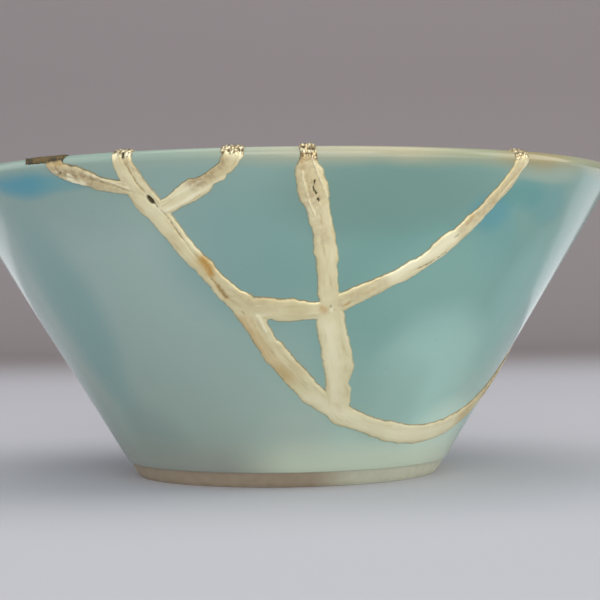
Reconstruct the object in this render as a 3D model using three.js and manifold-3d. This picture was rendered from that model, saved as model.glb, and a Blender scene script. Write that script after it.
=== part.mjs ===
// A small flared celadon bowl that broke into seven sherds and was joined again with gold lacquer.
//
// Millimetres, +Z up. The foot stands on z = 0 and the bowl's axis is the Z axis. Azimuths are in
// degrees: 0 is the side that faces -Y, and they grow towards +X.

import * as THREE from 'three';
import { mergeVertices } from 'three/addons/utils/BufferGeometryUtils.js';
import Module from 'manifold-3d';

// Driving dimensions of the bowl
const HEIGHT = 67.2;
const BASE_RADIUS = 34.0; // where the straight line of the outer wall meets the table
const FLARE = 0.611; // how far the wall leans out for each millimetre of height
const WALL = 3.0;
const FLOOR_HEIGHT = 5.0;
const FLOOR_FILLET = 8.0;
const FOOT_HEIGHT = 3.2; // the bare foot below the glaze
const GLAZE_STEP = 0.35;
const FOOT_CHAMFER = 0.6;
const FOOT_RING_WIDTH = 5.4;
const RECESS_HEIGHT = 1.8;

// Driving dimensions of the repair
const FIT_GAP = 0.3; // clearance between the lacquer and the sherds
const BAND_RISE = 0.35; // thickness of the gold band that covers a joint
const CROWN_SHOULDER = { across: 0.8, up: 0.7 }; // where a band's crown turns down to its edge
const COLLAR_RISE = 0.5; // thickness of the lump of gold over the lip
const COLLAR_SPREAD = 1.1; // width of that lump, as a share of the band's
const JOINT_SHARE = 0.16; // width of the lacquer in a joint, as a share of its gold band's
const CUT_SHARE = 0.3; // width of the cut that the lacquer lies in, as such a share
const CHIP = { from: -41.3, to: -32.9, depth: 1.4 }; // the chip in the rim that lacquer fills

// Fineness of the facets, in number or in millimetres
const LATHE_SEGMENTS = 72;
const ARC_DIVISIONS = 3;
const SEAM_STEP = 6.0;
const LIP_STEPS = 7;
const LIP_DISC_SIDES = 12;
const PROBE_SIDES = 8;

// The slanting wall and its round lip
const LEAN = Math.atan(FLARE);
const LIP_RADIUS = WALL / 2;
const LIP_HEIGHT = HEIGHT - LIP_RADIUS * (1 + Math.sin(LEAN)); // where the outer wall turns into the lip
const LIP_CENTRE = wallProfile(LIP_HEIGHT, LIP_RADIUS);

// The seams, as stations of azimuth, height on the outer wall and width of the gold band.
// A seam whose end stands at the lip's height runs over the lip and down inside the bowl.
const LONG_SEAM = [
  [-24.2, LIP_HEIGHT, 4.3],
  [-22.8, 60.0, 5.4],
  [-20.3, 54.5, 5.2],
  [-16.0, 47.2, 4.3],
  [-12.3, 42.5, 5.2],
  [-7.5, 37.1, 5.6],
  [-3.1, 29.5, 4.8],
  [2.1, 24.0, 4.8],
  [9.0, 18.5, 4.5],
  [20.3, 13.9, 4.2],
  [30.6, 11.5, 4.8],
  [41.5, 10.5, 5.0],
  [53.2, 11.3, 4.9],
  [67.4, 15.2, 4.6],
  [82.0, 22.5, 4.2],
  [97.0, 33.5, 4.0],
  [110.0, 46.5, 4.0],
  [119.0, 57.0, 4.2],
  [124.0, LIP_HEIGHT, 4.4],
];
const LEFT_FORK_SEAM = [
  [-36.3, LIP_HEIGHT, 5.0],
  [-33.8, 63.3, 4.6],
  [-31.4, 62.3, 4.0],
  [-28.5, 61.3, 3.0],
  [-22.9, 60.2, 3.0],
];
const SHORT_SLANT_SEAM = [
  [-7.3, LIP_HEIGHT, 4.2],
  [-9.2, 62.9, 4.6],
  [-13.7, 60.0, 4.6],
  [-18.0, 57.3, 3.4],
  [-21.0, 56.0, 3.2],
];
const UPRIGHT_SEAM = [
  [3.5, LIP_HEIGHT, 4.4],
  [3.9, 61.5, 5.4],
  [4.6, 58.2, 5.8],
  [5.6, 54.5, 4.6],
  [7.0, 49.0, 4.1],
  [8.0, 41.0, 4.2],
  [8.8, 36.5, 5.2],
  [10.2, 31.5, 6.0],
  [11.8, 26.5, 6.1],
  [12.3, 22.0, 4.6],
  [12.9, 16.8, 4.4],
];
const RIGHT_SLANT_SEAM = [
  [38.7, LIP_HEIGHT, 3.8],
  [37.6, 61.0, 4.0],
  [35.2, 56.6, 3.7],
  [32.0, 52.7, 4.1],
  [26.1, 46.6, 4.2],
  [20.8, 42.9, 3.7],
  [13.7, 39.6, 4.2],
  [8.7, 37.4, 4.0],
];
const CROSS_SEAM = [
  [-7.5, 37.4, 5.2],
  [-3.9, 37.1, 5.1],
  [0.5, 36.8, 5.1],
  [4.5, 36.9, 4.6],
  [8.7, 36.9, 4.0],
];
const SEAMS = [LONG_SEAM, LEFT_FORK_SEAM, SHORT_SLANT_SEAM, UPRIGHT_SEAM, RIGHT_SLANT_SEAM, CROSS_SEAM];

// The sherds, each with a spot in the middle of its wall, as azimuth and height
const SHERDS = {
  main_sherd: [-90, 30],
  left_rim_sherd: [-27.5, 63.6],
  middle_rim_sherd: [-16, 62.5],
  front_sherd: [-4, 50],
  right_rim_sherd: [20, 55],
  right_side_sherd: [60, 40],
  lower_wedge_sherd: [5.5, 28],
};

const wasm = await Module();
wasm.setup();

// A point of the wall's section: up the outer face, then straight into the wall by depth.
function wallProfile(height, depth) {
  const radius = BASE_RADIUS + FLARE * height - depth * Math.cos(LEAN);
  return new THREE.Vector2(radius, height + depth * Math.sin(LEAN));
}

// Turns a point of the section round the axis.
function turned(azimuth, profilePoint) {
  const angle = THREE.MathUtils.degToRad(azimuth);
  const { x: radius, y: height } = profilePoint;
  return new THREE.Vector3(radius * Math.sin(angle), -radius * Math.cos(angle), height);
}

// The direction in which a line of the section at this angle above the level points.
function directionAt(azimuth, elevation) {
  return turned(azimuth, new THREE.Vector2(Math.cos(elevation), Math.sin(elevation)));
}

// Lines along the bowl's faces. Their frames stand on the face, so a swept section lies flat on it.
class FaceLine extends THREE.Curve {
  computeFrenetFrames(segments) {
    const frames = { tangents: [], normals: [], binormals: [] };
    for (let i = 0; i <= segments; i += 1) {
      const t = this.getUtoTmapping(i / segments);
      const outward = this.outwardAt(t);
      const along = this.getTangent(t);
      const across = new THREE.Vector3().crossVectors(outward, along).normalize();
      frames.tangents.push(along);
      frames.normals.push(across.multiplyScalar(this.spreadAt(t)));
      frames.binormals.push(outward);
    }
    return frames;
  }
}

// A line up or round the outer wall, carried a little way past the lip's edge where it ends there.
class WallLine extends FaceLine {
  constructor(stations) {
    super();
    const first = stations[0];
    const last = stations[stations.length - 1];
    const route = [...justPastLip(first), ...stations, ...justPastLip(last)];
    this.route = new THREE.CatmullRomCurve3(route.map((station) => new THREE.Vector3(...station)));
  }

  getPoint(t) {
    const station = this.route.getPoint(t);
    return turned(station.x, wallProfile(station.y, 0));
  }

  outwardAt(t) {
    return directionAt(this.route.getPoint(t).x, -LEAN);
  }

  spreadAt(t) {
    return this.route.getPoint(t).z / 2;
  }
}

// A line over the lip, from the outer wall to the inner wall.
class LipLine extends FaceLine {
  constructor(azimuth, width) {
    super();
    this.azimuth = azimuth;
    this.width = width;
  }

  elevationAt(t) {
    return -LEAN + t * Math.PI;
  }

  getPoint(t) {
    const outward = this.outwardAt(t).multiplyScalar(LIP_RADIUS + FIT_GAP);
    return turned(this.azimuth, LIP_CENTRE).add(outward);
  }

  outwardAt(t) {
    return directionAt(this.azimuth, this.elevationAt(t));
  }

  spreadAt() {
    return this.width / 2;
  }
}

function endsAtLip([, height]) {
  return height === LIP_HEIGHT;
}

// The station just past one that ends at the lip, or none.
function justPastLip(station) {
  const [azimuth, height, width] = station;
  return endsAtLip(station) ? [[azimuth, height + FIT_GAP, width]] : [];
}

function outline(corners) {
  return new THREE.Shape(corners.map(([x, y]) => new THREE.Vector2(x, y)));
}

// Sections go across a seam in half-widths of its band, and out of the wall in millimetres.
function symmetric(rightHalf) {
  const leftHalf = rightHalf.filter(([x]) => x > 0).map(([x, y]) => [-x, y]).reverse();
  return outline([...rightHalf, ...leftHalf]);
}

// The right half of a band's crown, which stands on a base and rises out of the wall or into the bowl.
function crown(base, rise) {
  return [
    [0, base + rise],
    [CROWN_SHOULDER.across, base + CROWN_SHOULDER.up * rise],
    [1, base],
  ];
}

// The lump over the lip, a seam's lacquer right through the wall, and the wider cut that holds it.
const COLLAR_SECTION = symmetric(crown(0, COLLAR_RISE));
const SEAM_SECTION = symmetric([
  ...crown(FIT_GAP, BAND_RISE),
  [JOINT_SHARE, FIT_GAP],
  [JOINT_SHARE, -WALL - FIT_GAP],
  ...crown(-WALL - FIT_GAP, -BAND_RISE).reverse(),
]);
const CUT_SECTION = symmetric([
  [CUT_SHARE, WALL],
  [CUT_SHARE, -2 * WALL],
]);

function toSolid(geometry) {
  geometry.deleteAttribute('normal');
  geometry.deleteAttribute('uv');
  const merged = mergeVertices(geometry, 1e-4);
  const corners = merged.index.array;
  const triVerts = [];
  for (let i = 0; i < corners.length; i += 3) {
    const [a, b, c] = corners.slice(i, i + 3);
    if (a !== b && b !== c && c !== a) triVerts.push(a, b, c);
  }
  return new wasm.Manifold(new wasm.Mesh({
    numProp: 3,
    vertProperties: new Float32Array(merged.attributes.position.array),
    triVerts: new Uint32Array(triVerts),
  }));
}

function joined(solids) {
  return solids.reduce((whole, solid) => whole.add(solid));
}

function sweep(section, line, steps) {
  return toSolid(new THREE.ExtrudeGeometry(section, { steps, extrudePath: line }));
}

// A solid of revolution about the Z axis, with azimuth 0 facing -Y.
function lathe(path) {
  const geometry = new THREE.LatheGeometry(path.getPoints(ARC_DIVISIONS), LATHE_SEGMENTS);
  return toSolid(geometry.rotateX(Math.PI / 2));
}

function lineToPoint(path, point) {
  path.lineTo(point.x, point.y);
}

// Adds the outer wall, the lip and the inner wall to a section, with every face moved out by grow.
function addWall(path, fromHeight, toHeight, grow) {
  lineToPoint(path, wallProfile(fromHeight, -grow));
  lineToPoint(path, wallProfile(LIP_HEIGHT, -grow));
  path.absarc(LIP_CENTRE.x, LIP_CENTRE.y, LIP_RADIUS + grow, -LEAN, Math.PI - LEAN, false);
  lineToPoint(path, wallProfile(toHeight, WALL + grow));
}

// The whole bowl before it broke: recess, foot ring, bare foot, wall, lip, wall and floor.
function wholeBowl() {
  const footEdge = wallProfile(FOOT_CHAMFER, GLAZE_STEP);
  const ringOuter = footEdge.x - FOOT_CHAMFER;
  const ringInner = ringOuter - FOOT_RING_WIDTH;
  const filletCentreHeight = FLOOR_HEIGHT + FLOOR_FILLET;
  const filletFoot = filletCentreHeight - (WALL + FLOOR_FILLET) * Math.sin(LEAN);
  const filletCentre = wallProfile(filletFoot, WALL + FLOOR_FILLET);

  const section = new THREE.Path();
  section.moveTo(0, RECESS_HEIGHT);
  section.lineTo(ringInner - FOOT_CHAMFER, RECESS_HEIGHT);
  section.lineTo(ringInner, 0);
  section.lineTo(ringOuter, 0);
  section.lineTo(footEdge.x, footEdge.y);
  lineToPoint(section, wallProfile(FOOT_HEIGHT, GLAZE_STEP));
  addWall(section, FOOT_HEIGHT, filletFoot, 0);
  section.absarc(filletCentre.x, filletCentre.y, FLOOR_FILLET, -LEAN, -Math.PI / 2, true);
  section.lineTo(0, FLOOR_HEIGHT);
  return lathe(section);
}

// The wall alone, with its faces moved out by grow.
function wallRing(grow) {
  const section = new THREE.Path();
  const bottom = FLOOR_HEIGHT;
  const start = wallProfile(bottom, -grow);
  section.moveTo(start.x, start.y);
  addWall(section, bottom, bottom, grow);
  section.closePath();
  return lathe(section);
}

// A disc that stands across the lip at a seam's end.
function lipDisc([azimuth, , width], share, radius) {
  const centre = turned(azimuth, LIP_CENTRE);
  const disc = new THREE.CylinderGeometry(radius, radius, share * width, LIP_DISC_SIDES);
  disc.rotateZ(Math.PI / 2);
  disc.rotateZ(THREE.MathUtils.degToRad(azimuth));
  disc.translate(centre.x, centre.y, centre.z);
  return toSolid(disc);
}

// A seam's section along its stations, with a disc at each end that reaches the lip.
function alongSeam(stations, section, discShare, discRadius) {
  const line = new WallLine(stations);
  const steps = Math.ceil(line.getLength() / SEAM_STEP);
  const discs = stations.filter(endsAtLip).map((station) => lipDisc(station, discShare, discRadius));
  return joined([sweep(section, line, steps), ...discs]);
}

// The lacquer of one seam: in the joint, on both faces of the wall, and over the lip.
function lacquerSeam(stations) {
  const intoCollar = LIP_RADIUS + FIT_GAP + COLLAR_RISE / 3;
  const seam = alongSeam(stations, SEAM_SECTION, JOINT_SHARE, intoCollar);
  const overLip = stations.filter(endsAtLip).map(([azimuth, , width]) => (
    sweep(COLLAR_SECTION, new LipLine(azimuth, COLLAR_SPREAD * width), LIP_STEPS)
  ));
  return joined([seam, ...overLip]);
}

// A block over the chipped stretch of the rim, smaller by clearance on every side that meets a sherd.
function chipBlock(clearance) {
  const trim = THREE.MathUtils.radToDeg(clearance / LIP_CENTRE.x);
  const bottom = HEIGHT - CHIP.depth + clearance;
  const reach = WALL;
  const section = new THREE.Path();
  section.moveTo(LIP_CENTRE.x - reach, bottom);
  section.lineTo(LIP_CENTRE.x + reach, bottom);
  section.lineTo(LIP_CENTRE.x + reach, bottom + reach);
  section.lineTo(LIP_CENTRE.x - reach, bottom + reach);
  section.closePath();
  const ring = lathe(section);
  return ring.intersect(sector(CHIP.from + trim, CHIP.to - trim));
}

// A tall wedge between two azimuths, wide enough to take in the whole rim.
function sector(from, to) {
  const reach = 2 * LIP_CENTRE.x;
  const start = turned(from, new THREE.Vector2(reach, 0));
  const end = turned(to, new THREE.Vector2(reach, 0));
  const wedge = outline([[0, 0], [start.x, start.y], [end.x, end.y]]);
  return toSolid(new THREE.ExtrudeGeometry(wedge, { depth: 2 * HEIGHT, bevelEnabled: false }));
}

// The lacquer of all the seams, and what fills the chip.
function goldSeams() {
  const chipFill = chipBlock(FIT_GAP).intersect(wallRing(BAND_RISE));
  return joined([...SEAMS.map(lacquerSeam), chipFill]);
}

// The bowl without its joints and its chip falls apart into the sherds.
function brokenBowl() {
  const cuts = joined(SEAMS.map((stations) => alongSeam(stations, CUT_SECTION, CUT_SHARE, WALL)));
  return wholeBowl().subtract(cuts.add(chipBlock(0))).decompose();
}

// The piece of the broken bowl that holds a spot in the middle of the wall.
function pieceAt(pieces, [azimuth, height]) {
  const spot = turned(azimuth, wallProfile(height, WALL / 2));
  const probe = toSolid(new THREE.SphereGeometry(WALL / 4, PROBE_SIDES, PROBE_SIDES).translate(...spot));
  return pieces.find((piece) => piece.intersect(probe).volume() > 0);
}

function namedMesh(name, solid, material) {
  const { numProp, vertProperties, triVerts } = solid.getMesh();
  const geometry = new THREE.BufferGeometry();
  const points = new THREE.InterleavedBuffer(vertProperties, numProp);
  geometry.setAttribute('position', new THREE.InterleavedBufferAttribute(points, 3, 0));
  geometry.setIndex(new THREE.BufferAttribute(triVerts, 1));
  geometry.computeVertexNormals();
  const mesh = new THREE.Mesh(geometry, material);
  mesh.name = name;
  return mesh;
}

const bowl = new THREE.Group();
bowl.name = 'kintsugi_bowl';

const pieces = brokenBowl();
for (const [name, spot] of Object.entries(SHERDS)) {
  const celadon = new THREE.MeshStandardMaterial({ color: 0x86b4b0, roughness: 0.18, metalness: 0 });
  bowl.add(namedMesh(name, pieceAt(pieces, spot), celadon));
}

const gold = new THREE.MeshStandardMaterial({ color: 0xd2bf86, roughness: 0.42, metalness: 0.9 });
bowl.add(namedMesh('gold_seams', goldSeams(), gold));

export default bowl;
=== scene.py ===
# A small flared celadon bowl, broken into seven sherds and joined again with gold lacquer.
#
# Shapes are worked out in millimetres and brought to metres at the end. The foot stands on z = 0 and
# the bowl's axis is the Z axis. Azimuths are in degrees: 0 faces -Y, and they grow towards +X.

import math

import bmesh
import bpy
import numpy as np
from mathutils import Matrix, Vector, noise
from mathutils.kdtree import KDTree


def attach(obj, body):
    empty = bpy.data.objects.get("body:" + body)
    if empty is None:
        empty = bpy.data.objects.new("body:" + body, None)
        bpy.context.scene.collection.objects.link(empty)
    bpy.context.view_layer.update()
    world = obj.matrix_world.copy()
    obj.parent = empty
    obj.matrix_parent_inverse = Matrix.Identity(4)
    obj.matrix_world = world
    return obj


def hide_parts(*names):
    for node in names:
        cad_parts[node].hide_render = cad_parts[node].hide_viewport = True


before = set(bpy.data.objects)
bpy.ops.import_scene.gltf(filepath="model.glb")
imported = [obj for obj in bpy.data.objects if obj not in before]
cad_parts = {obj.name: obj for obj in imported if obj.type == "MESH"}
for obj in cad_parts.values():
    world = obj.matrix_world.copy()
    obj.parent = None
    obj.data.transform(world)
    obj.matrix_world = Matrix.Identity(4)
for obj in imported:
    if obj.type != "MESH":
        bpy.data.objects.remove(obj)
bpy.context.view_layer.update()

MM = 0.001

# The bowl, in millimetres
HEIGHT = 67.2
BASE_RADIUS = 34.0  # where the straight line of the outer wall meets the table
FLARE = 0.611  # how far the wall leans out for each millimetre of height
WALL = 3.0
FLOOR_HEIGHT = 5.0
FLOOR_FILLET = 8.0
FOOT_HEIGHT = 3.2  # the bare foot below the glaze
GLAZE_STEP = 0.35
FOOT_CHAMFER = 0.6
FOOT_RING_WIDTH = 5.4
RECESS_HEIGHT = 1.8
LEAN = math.atan(FLARE)
LIP_RADIUS = WALL / 2
LIP_HEIGHT = HEIGHT - LIP_RADIUS * (1 + math.sin(LEAN))  # where the outer wall turns into the lip
LIP_ARC = math.pi * LIP_RADIUS  # length of the way over the lip
LIP_TOP = LIP_ARC / 2

# Fineness of the bowl
WHEEL_DOUBLINGS = 4  # the slice turned from the section is doubled this many times
SLICE_STEPS = 24
SLICE_WELD = 1e-3  # corners of two slices that are nearer than this become one
RING_STEP = 1.5
CORNER_STEPS = 4
FILLET_STEPS = 10
LIP_STEPS = 20
SHERD_SHARP = 35  # an edge of a sherd is sharp from this angle, in degrees

# Unevenness of the glaze
GLAZE_SWELL = 0.03
GLAZE_SWELL_SPAN = 15.0

# The joints between the sherds
JOINT_WIDTH = 0.7  # the lacquer in a joint
JOINT_RISE = 0.1  # how far that lacquer stands out of the wall, under the band
CUT_WIDTH = 0.9  # the joint itself
CUT_REACH = 1.5  # how far the blade that cuts it stands out of the wall
BLADE_STEP = 1.0
TUBE_WELD = 1e-5
BLADE_LIP_STEPS = 8
BLADE_STOP = 0.02  # each half of a blade ends this far short of the top of the lip

# The gold bands
LINE_STEPS = 40  # points of a smooth line from one station to the next
LIP_RUN = 0.3  # a line that reaches the lip runs on by this, straight up
BAND_SINK = 0.08  # how far a band's underside lies in the glaze
SINK_STEP = 0.002  # each band lies this much deeper than the last, so that no undersides meet
BAND_RISE = 0.36
LOWEST_RISE = 0.02
HIGHEST_RISE = 0.72
FINE_STEP = 0.34
COARSE_STEP = 0.8
COARSE_START = 3.0  # how far down inside the bowl the steps turn coarse
RIM_OVERLAP = 3.0  # how far the band that comes round to the lip again runs past it
CROWN_COLUMNS = 40
UNDER_COLUMNS = 4
ALONG_SMOOTHING = 3.0  # length over which a band turns into a new direction
FLAT_TOP = 6  # the larger, the flatter a band is between its edges
SHOULDER = 0.8  # the smaller, the steeper its edges stand
MIDDLE_SWELL = 0.06  # how much higher its middle is, as a share
END_LENGTH = 2.0  # a band thins out over this length at each end
END_THINNING = 0.45
GOLD_SHARP = 60

# Unevenness of the gold: how high or, for the edges, what share of the width, and over what length
EDGE_WAVES = [(0.10, 5.0), (0.07, 1.7), (0.05, 0.6)]
RIPPLES = [(0.012, 0.8), (0.03, 3.0)]
STREAK_RISE = 0.05
STREAK_WIDTH = 1.1
STREAK_LENGTH = 9.0
MARK_WAVE = (0.24, 0.5)
MARK_FALLOFF = 1.4

# Leaf gathered over the lip, in sharp folds
GATHER_WAVE = (0.9, 1.5)
GATHER_FADE = 0.5
GATHER_RISE = 0.08
FOLD_RISE = 0.13
FOLD_SPAN = 0.6
FOLD_SLOPE = 2.4
FOLD_DEPTH = 0.9
FOLD_SHADE = 0.9  # how dark the painted shade in the bottom of a fold is
FOLD_SHADE_START = 0.2

# The long shallow chip in the left rim: its azimuths, its depth, the places where it starts on the
# outer side of the lip and ends on the inner, and how its outer edge slants and wavers
CHIP = {"from": -43.0, "to": -34.6, "depth": 1.4, "outer": 1.45, "inner": 4.3, "slant": 0.25, "waver": 0.9}
CHIP_STEPS = 48
CHIP_COLUMNS = 13
CHIP_SQUARENESS = 10  # the larger, the steeper its two ends
CHIP_FLOOR = 0.4  # half the width of its floor, as a share of the lip's radius
CHIP_WAVE = (0.16, 0.6)
CHIP_CUT_REACH = 1.2
FILLER_RISE = 0.2
FILLER_GAP = 0.05
FILLER_LUMPS = 0.10
LUMP_SPAN = 0.9
PATCH_START = 0.8  # where filler takes the place of gold on a band, up the lip from its outer edge
PATCH_WAVE = (0.3, 0.8)
PATCH_FADE = 0.4
PATCH_MARGIN = 1.0  # how far past the chip's ends that goes, in degrees
PATCH_THINNING = 0.8

# Seeds that keep apart the noise of a band's two edges, of its waves, of the two faces and of the chip
EDGE_SEED = 3
WAVE_SEED = 10
FACE_SEED = 6
CHIP_SEED = 41

# The seams, as stations of azimuth, height on the outer wall and width of the gold band.
# A seam whose end stands at the lip's height runs over the lip and down inside the bowl.
SEAMS = {
    "long": [
        (-24.2, LIP_HEIGHT, 4.3), (-22.8, 60.0, 5.4), (-20.3, 54.5, 5.2), (-16.0, 47.2, 4.3),
        (-12.3, 42.5, 5.2), (-7.5, 37.1, 5.6), (-3.1, 29.5, 4.8), (2.1, 24.0, 4.8),
        (9.0, 18.5, 4.5), (20.3, 13.9, 4.2), (30.6, 11.5, 4.8), (41.5, 10.5, 5.0),
        (53.2, 11.3, 4.9), (67.4, 15.2, 4.6), (82.0, 22.5, 4.2), (97.0, 33.5, 4.0),
        (110.0, 46.5, 4.0), (119.0, 57.0, 4.2), (124.0, LIP_HEIGHT, 4.4),
    ],
    "left_fork": [
        (-36.3, LIP_HEIGHT, 5.0), (-33.8, 63.3, 4.6), (-31.4, 62.3, 4.0), (-28.5, 61.3, 3.0),
        (-22.9, 60.2, 3.0),
    ],
    "short_slant": [
        (-7.3, LIP_HEIGHT, 4.2), (-9.2, 62.9, 4.6), (-13.7, 60.0, 4.6), (-18.0, 57.3, 3.4),
        (-21.0, 56.0, 3.2),
    ],
    "upright": [
        (3.5, LIP_HEIGHT, 4.4), (3.9, 61.5, 5.4), (4.6, 58.2, 5.8), (5.6, 54.5, 4.6),
        (7.0, 49.0, 4.1), (8.0, 41.0, 4.2), (8.8, 36.5, 5.2), (10.2, 31.5, 6.0),
        (11.8, 26.5, 6.1), (12.3, 22.0, 4.6), (12.9, 16.8, 4.4),
    ],
    "right_slant": [
        (38.7, LIP_HEIGHT, 3.8), (37.6, 61.0, 4.0), (35.2, 56.6, 3.7), (32.0, 52.7, 4.1),
        (26.1, 46.6, 4.2), (20.8, 42.9, 3.7), (13.7, 39.6, 4.2), (8.7, 37.4, 4.0),
    ],
    "cross": [
        (-7.5, 37.4, 5.2), (-3.9, 37.1, 5.1), (0.5, 36.8, 5.1), (4.5, 36.9, 4.6),
        (8.7, 36.9, 4.0),
    ],
}

# Where a band's gold runs on beside the seam that it meets, at its start or at its end
LEADS = {"cross": [(-11.2, 42.2, 2.8), (-9.1, 39.7, 4.6)]}
TAILS = {"upright": [(14.3, 15.3, 4.4), (17.5, 14.4, 3.2)]}

# How each seam's band is laid: how high it stands, as a share of BAND_RISE, and how far down from the
# lip its leaf is gathered, in millimetres. Where two bands meet, the higher one was brushed last.
BANDS = {
    "long": (1.0, -0.8),
    "left_fork": (1.12, 0.0),
    "short_slant": (0.9, -0.5),
    "upright": (1.14, 0.6),
    "right_slant": (0.92, -0.3),
    "cross": (0.98, 0.0),
}

# Where the brush drew an edge in or let it out: a route beside the edge, how far from the route the
# edge still moves, and how far outward it moves, in millimetres
EDGE_CHANGES = [
    ([(-37.6, 63.8), (-36.2, 62.5), (-34.2, 61.3)], 0.9, -0.55),
    ([(-33.2, 60.9), (-31.4, 60.5)], 0.9, -0.7),
    ([(-34.6, 68.4), (-34.3, 66.2)], 0.9, -0.6),
    ([(-32.4, 64.6), (-31.4, 64.0), (-29.9, 63.1)], 0.8, 0.4),
    ([(-22.8, 54.6), (-21.3, 51.6), (-20.0, 49.8)], 0.9, -0.45),
    ([(-16.4, 44.6), (-15.2, 43.0), (-14.2, 41.6)], 0.9, -0.5),
    ([(-9.9, 65.0), (-12.3, 63.1), (-13.4, 62.3)], 1.0, -0.9),
    ([(-5.9, 64.2), (-6.6, 63.0), (-8.2, 61.6), (-10.2, 60.1)], 0.9, -0.75),
    ([(-8.3, 61.7), (-8.5, 61.5)], 0.6, -0.3),
    ([(-15.0, 61.3), (-16.2, 60.5)], 0.7, -0.25),
    ([(1.7, 69.0), (1.7, 66.0), (1.8, 64.6)], 0.9, -0.75),
    ([(5.5, 69.0), (5.5, 66.0), (5.8, 64.2)], 0.9, -0.75),
    ([(1.7, 62.8), (1.9, 61.8)], 0.7, 0.3),
    ([(2.9, 56.4), (3.7, 54.3)], 0.7, -0.35),
    ([(4.8, 49.8), (5.2, 47.6)], 0.7, 0.4),
    ([(6.5, 33.6), (6.6, 31.4)], 0.9, 0.25),
    ([(6.6, 60.4), (6.9, 59.3)], 0.7, 0.25),
    ([(7.2, 57.6), (7.9, 53.8)], 0.7, -0.15),
    ([(9.1, 48.0), (9.4, 46.4)], 0.7, 0.3),
    ([(16.0, 25.8), (15.7, 23.8)], 1.0, 0.45),
    ([(15.4, 20.8), (15.6, 18.0)], 1.0, 0.8),
    ([(-11.6, 45.4), (-10.1, 43.5), (-8.9, 42.2), (-8.1, 41.3)], 0.9, -0.65),
    ([(-7.6, 40.9), (-7.0, 40.3)], 0.6, -0.35),
    ([(-7.0, 40.0), (-5.6, 39.4), (-2.9, 39.1), (1.5, 38.9)], 0.8, 0.3),
    ([(4.6, 38.9), (6.2, 38.6)], 0.7, -0.45),
    ([(-7.7, 31.1), (-5.4, 27.9), (-1.0, 23.2)], 0.9, 0.4),
    ([(0.1, 22.2), (3.3, 19.8), (5.2, 18.3)], 0.9, 0.5),
    ([(15.6, 13.3), (17.6, 12.9)], 0.9, 0.3),
    ([(-3.0, 34.6), (-2.2, 33.1), (-1.2, 31.6)], 0.8, -0.6),
    ([(5.4, 24.0), (7.6, 21.8)], 0.7, -0.3),
    ([(37.0, 64.0), (36.4, 63.0), (35.6, 60.4)], 0.8, -0.35),
    ([(33.9, 57.2), (32.1, 55.2)], 0.7, -0.4),
    ([(30.9, 54.0), (29.6, 52.6)], 0.8, -0.5),
    ([(29.2, 52.4), (28.6, 51.8)], 0.6, -0.3),
    ([(25.6, 48.8), (23.6, 47.0)], 0.8, -0.6),
    ([(18.4, 44.1), (16.6, 43.4)], 0.8, 0.3),
    ([(40.0, 63.2), (39.3, 60.5), (38.2, 58.6), (37.2, 57.0)], 0.8, -0.45),
    ([(36.7, 56.1), (35.8, 54.8)], 0.7, -0.25),
    ([(31.4, 49.5), (29.4, 47.5)], 0.8, 0.3),
    ([(21.4, 41.5), (19.0, 40.4)], 0.8, -0.25),
]

# The sherds, each with a spot in the middle of its wall, as azimuth and height
SHERDS = {
    "main_sherd": (-90, 30),
    "left_rim_sherd": (-27.5, 63.6),
    "middle_rim_sherd": (-16, 62.5),
    "front_sherd": (-4, 50),
    "right_rim_sherd": (20, 55),
    "right_side_sherd": (60, 40),
    "lower_wedge_sherd": (5.5, 28),
}


def mark(route, width, rise=0.0, **looks):
    """A mark on the gold: its route of azimuths and heights, its width, and what it does there."""
    return {"route": route, "width": width, "rise": rise, **looks}
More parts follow.
